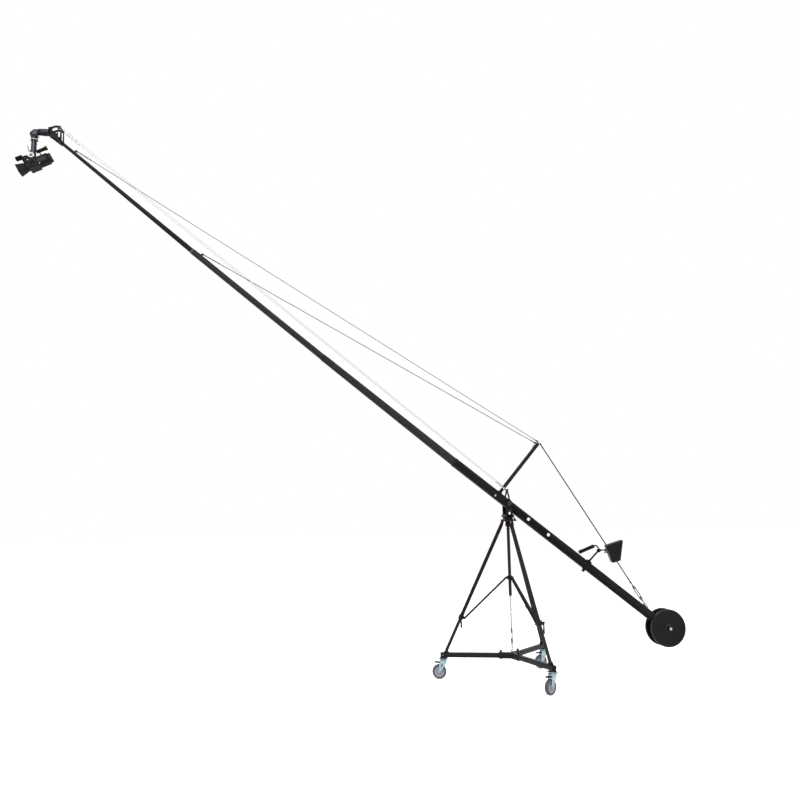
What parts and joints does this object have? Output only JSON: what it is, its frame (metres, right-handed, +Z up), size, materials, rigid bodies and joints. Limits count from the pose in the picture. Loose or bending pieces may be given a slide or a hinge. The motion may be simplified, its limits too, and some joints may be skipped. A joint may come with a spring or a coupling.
{
  "type": "camera jib crane",
  "caption": "Camera jib crane on a wheeled tripod: an octagonal counterweighted arm with a stay mast, levelling cables, a remote camera head and a hooded monitor.",
  "frame": {"origin": "on the floor, under the pan axis", "axes": "+X toward the counterweights, -X toward the camera head, -Y the operator's side, +Z up"},
  "size_m": [6.0199, 1.1418, 4.9279],
  "materials": {
    "arm_black": "black anodised, satin",
    "fitting_black": "black anodised, half gloss",
    "leg_black": "black paint, satin",
    "steel_bright": "bright zinc, satin",
    "zinc": "zinc plate, cool tint",
    "tyre_grey": "grey-blue rubber, matt",
    "plastic_black": "black plastic, matt",
    "foam_black": "black foam, matt",
    "weight_black": "black paint on iron, half gloss",
    "camera_black": "black camera shell, fine grain"
  },
  "bodies": {
    "tripod": {"crown": "fitting_black", "centre_column": "leg_black", "brace_collar": "fitting_black", "tension_chain": "steel_bright", "pan_base": "fitting_black", "leg_upper_1": "leg_black", "brace_1": "leg_black", "leg_upper_2": "leg_black", "brace_2": "leg_black", "leg_upper_3": "leg_black", "brace_3": "leg_black"},
    "spreader_hub": {"spreader_hub": "fitting_black"},
    "yoke": {"yoke": "fitting_black", "pivot_shaft": "steel_bright"},
    "pan_lock": {"pan_lock_handle": "plastic_black"},
    "arm": {"arm_rear": "arm_black", "arm_front_3": "arm_black", "arm_front_2": "arm_black", "arm_front_1": "arm_black", "mast": "arm_black", "stay_front_long": "steel_bright", "stay_front_short": "steel_bright", "stay_rear": "steel_bright", "rear_turnbuckle": "steel_bright", "weight_axle": "steel_bright", "control_bracket": "fitting_black"},
    "weight_near": {"weight_plate_near": "weight_black"},
    "knob_near": {"weight_knob_near": "plastic_black"},
    "weight_far": {"weight_plate_far": "weight_black"},
    "knob_far": {"weight_knob_far": "plastic_black"},
    "grip": {"control_grip": "foam_black"},
    "monitor_arm": {"monitor_arm": "fitting_black"},
    "monitor": {"monitor": "plastic_black"},
    "level_cables": {"level_cable_near": "steel_bright", "level_cable_far": "steel_bright"},
    "tip": {"tip_bracket": "fitting_black", "head_arm": "fitting_black"},
    "head_post": {"head_post": "fitting_black"},
    "camera": {"camera_cradle": "fitting_black", "camera_body": "camera_black", "lens_hood": "plastic_black"},
    "viewfinder": {"viewfinder": "plastic_black"},
    "lower_leg_1": {"leg_lower_1": "leg_black", "spreader_bar_1": "leg_black"},
    "clamp_lever_1": {"clamp_lever_1": "plastic_black"},
    "caster_1": {"caster_fork_1": "zinc"},
    "wheel_1": {"caster_wheel_1": "tyre_grey"},
    "pedal_1": {"brake_pedal_1": "plastic_black"},
    "lower_leg_2": {"leg_lower_2": "leg_black", "spreader_bar_2": "leg_black"},
    "clamp_lever_2": {"clamp_lever_2": "plastic_black"},
    "caster_2": {"caster_fork_2": "zinc"},
    "wheel_2": {"caster_wheel_2": "tyre_grey"},
    "pedal_2": {"brake_pedal_2": "plastic_black"},
    "lower_leg_3": {"leg_lower_3": "leg_black", "spreader_bar_3": "leg_black"},
    "clamp_lever_3": {"clamp_lever_3": "plastic_black"},
    "caster_3": {"caster_fork_3": "zinc"},
    "wheel_3": {"caster_wheel_3": "tyre_grey"},
    "pedal_3": {"brake_pedal_3": "plastic_black"}
  },
  "joints": [
    {"name": "leg_1_extend", "type": "slide", "parent": "tripod", "child": "lower_leg_1", "axis": [-0.4136, 0.1139, -0.9033], "range_m": [-0.055, 0.065]},
    {"name": "clamp_lever_1_turn", "type": "hinge", "parent": "tripod", "child": "clamp_lever_1", "pos_m": [-0.42679, 0.11756, 0.53426], "axis": [-0.2656, -0.9641, 0], "range_deg": [0, 70]},
    {"name": "caster_1_swivel", "type": "hinge", "parent": "lower_leg_1", "child": "caster_1", "pos_m": [-0.5881, 0.16199, 0], "axis": [0, 0, 1], "continuous": true},
    {"name": "wheel_1_spin", "type": "hinge", "parent": "caster_1", "child": "wheel_1", "pos_m": [-0.62527, 0.16989, 0.0625], "axis": [-0.2079, -0.9781, 0], "continuous": true},
    {"name": "pedal_1_press", "type": "hinge", "parent": "caster_1", "child": "pedal_1", "pos_m": [-0.61646, 0.16802, 0.1397], "axis": [-0.2079, -0.9781, 0], "range_deg": [0, 8]},
    {"name": "leg_2_extend", "type": "slide", "parent": "tripod", "child": "lower_leg_2", "axis": [0.1081, -0.4152, -0.9033], "range_m": [-0.056, 0.066]},
    {"name": "clamp_lever_2_turn", "type": "hinge", "parent": "tripod", "child": "clamp_lever_2", "pos_m": [0.11159, -0.42839, 0.53426], "axis": [0.9677, 0.2521, 0], "range_deg": [0, 70]},
    {"name": "caster_2_swivel", "type": "hinge", "parent": "lower_leg_2", "child": "caster_2", "pos_m": [0.15376, -0.5903, 0], "axis": [0, 0, 1], "continuous": true},
    {"name": "wheel_2_spin", "type": "hinge", "parent": "caster_2", "child": "wheel_2", "pos_m": [0.12263, -0.6121, 0.0625], "axis": [0.5736, -0.8192, 0], "continuous": true},
    {"name": "pedal_2_press", "type": "hinge", "parent": "caster_2", "child": "pedal_2", "pos_m": [0.13001, -0.60694, 0.1397], "axis": [0.5736, -0.8192, 0], "range_deg": [0, 8]},
    {"name": "leg_3_extend", "type": "slide", "parent": "tripod", "child": "lower_leg_3", "axis": [0.3055, 0.3012, -0.9033], "range_m": [-0.056, 0.066]},
    {"name": "clamp_lever_3_turn", "type": "hinge", "parent": "tripod", "child": "clamp_lever_3", "pos_m": [0.31521, 0.31083, 0.53426], "axis": [-0.7022, 0.712, 0], "range_deg": [-70, 0]},
    {"name": "caster_3_swivel", "type": "hinge", "parent": "lower_leg_3", "child": "caster_3", "pos_m": [0.43434, 0.42831, 0], "axis": [0, 0, 1], "continuous": true},
    {"name": "wheel_3_spin", "type": "hinge", "parent": "caster_3", "child": "wheel_3", "pos_m": [0.398, 0.4172, 0.0625], "axis": [0.2924, -0.9563, 0], "continuous": true},
    {"name": "pedal_3_press", "type": "hinge", "parent": "caster_3", "child": "pedal_3", "pos_m": [0.4066, 0.41984, 0.1397], "axis": [0.2924, -0.9563, 0], "range_deg": [0, 8]},
    {"name": "hub_drop", "type": "slide", "parent": "tripod", "child": "spreader_hub", "axis": [0, 0, -1], "range_m": [-0.051, 0.06], "deforming": ["tension_chain"]},
    {"name": "pan", "type": "hinge", "parent": "tripod", "child": "yoke", "pos_m": [0, 0, 1.4], "axis": [0, 0, 1], "continuous": true},
    {"name": "pan_lock_turn", "type": "hinge", "parent": "yoke", "child": "pan_lock", "pos_m": [0.047, 0, 1.419], "axis": [1, 0, 0], "range_deg": [-40, 40]},
    {"name": "arm_tilt", "type": "hinge", "parent": "yoke", "child": "arm", "pos_m": [0, 0, 1.53], "axis": [0, 1, 0], "range_deg": [-46, 5]},
    {"name": "level_cables_swing", "type": "hinge", "parent": "yoke", "child": "level_cables", "pos_m": [0, 0, 1.655], "axis": [0, 1, 0], "range_deg": [-47, 6]},
    {"name": "tip_level", "type": "hinge", "parent": "arm", "child": "tip", "pos_m": [-4.02826, 0, 4.78621], "axis": [0, 1, 0], "range_deg": [-6, 47]},
    {"name": "head_pan", "type": "hinge", "parent": "tip", "child": "head_post", "pos_m": [-4.25426, 0, 4.78621], "axis": [0, 0, 1], "continuous": true},
    {"name": "camera_tilt", "type": "hinge", "parent": "head_post", "child": "camera", "pos_m": [-4.25426, 0, 4.62421], "axis": [0, 1, 0], "range_deg": [-25, 38]},
    {"name": "viewfinder_tilt", "type": "hinge", "parent": "camera", "child": "viewfinder", "pos_m": [-4.19092, -0.062, 4.65845], "axis": [0, -1, 0], "range_deg": [0, 45]},
    {"name": "grip_lift", "type": "hinge", "parent": "arm", "child": "grip", "pos_m": [0.85404, 0, 1.09983], "axis": [0, 1, 0], "range_deg": [0, 60]},
    {"name": "monitor_tilt", "type": "hinge", "parent": "arm", "child": "monitor_arm", "pos_m": [0.85404, 0, 1.09983], "axis": [0, 1, 0], "range_deg": [-15, 15]},
    {"name": "monitor_swivel", "type": "hinge", "parent": "monitor_arm", "child": "monitor", "pos_m": [0.87404, -0.096, 1.09983], "axis": [0, 0, 1], "range_deg": [-20, 15]},
    {"name": "weight_near_slide", "type": "slide", "parent": "arm", "child": "weight_near", "axis": [0, -1, 0], "range_m": [0, 0.022]},
    {"name": "knob_near_slide", "type": "slide", "parent": "arm", "child": "knob_near", "axis": [0, -1, 0], "range_m": [0, 0.023]},
    {"name": "weight_far_slide", "type": "slide", "parent": "arm", "child": "weight_far", "axis": [0, 1, 0], "range_m": [0, 0.022]},
    {"name": "knob_far_slide", "type": "slide", "parent": "arm", "child": "knob_far", "axis": [0, 1, 0], "range_m": [0, 0.023]}
  ],
  "couplings": [
    {"joint": "leg_2_extend", "follows": "leg_1_extend", "ratio": 1},
    {"joint": "leg_3_extend", "follows": "leg_1_extend", "ratio": 1},
    {"joint": "hub_drop", "follows": "leg_1_extend", "ratio": 0.90329},
    {"joint": "level_cables_swing", "follows": "arm_tilt", "ratio": 1},
    {"joint": "tip_level", "follows": "arm_tilt", "ratio": -1},
    {"joint": "knob_near_slide", "follows": "weight_near_slide", "ratio": 1},
    {"joint": "knob_far_slide", "follows": "weight_far_slide", "ratio": 1}
  ]
}
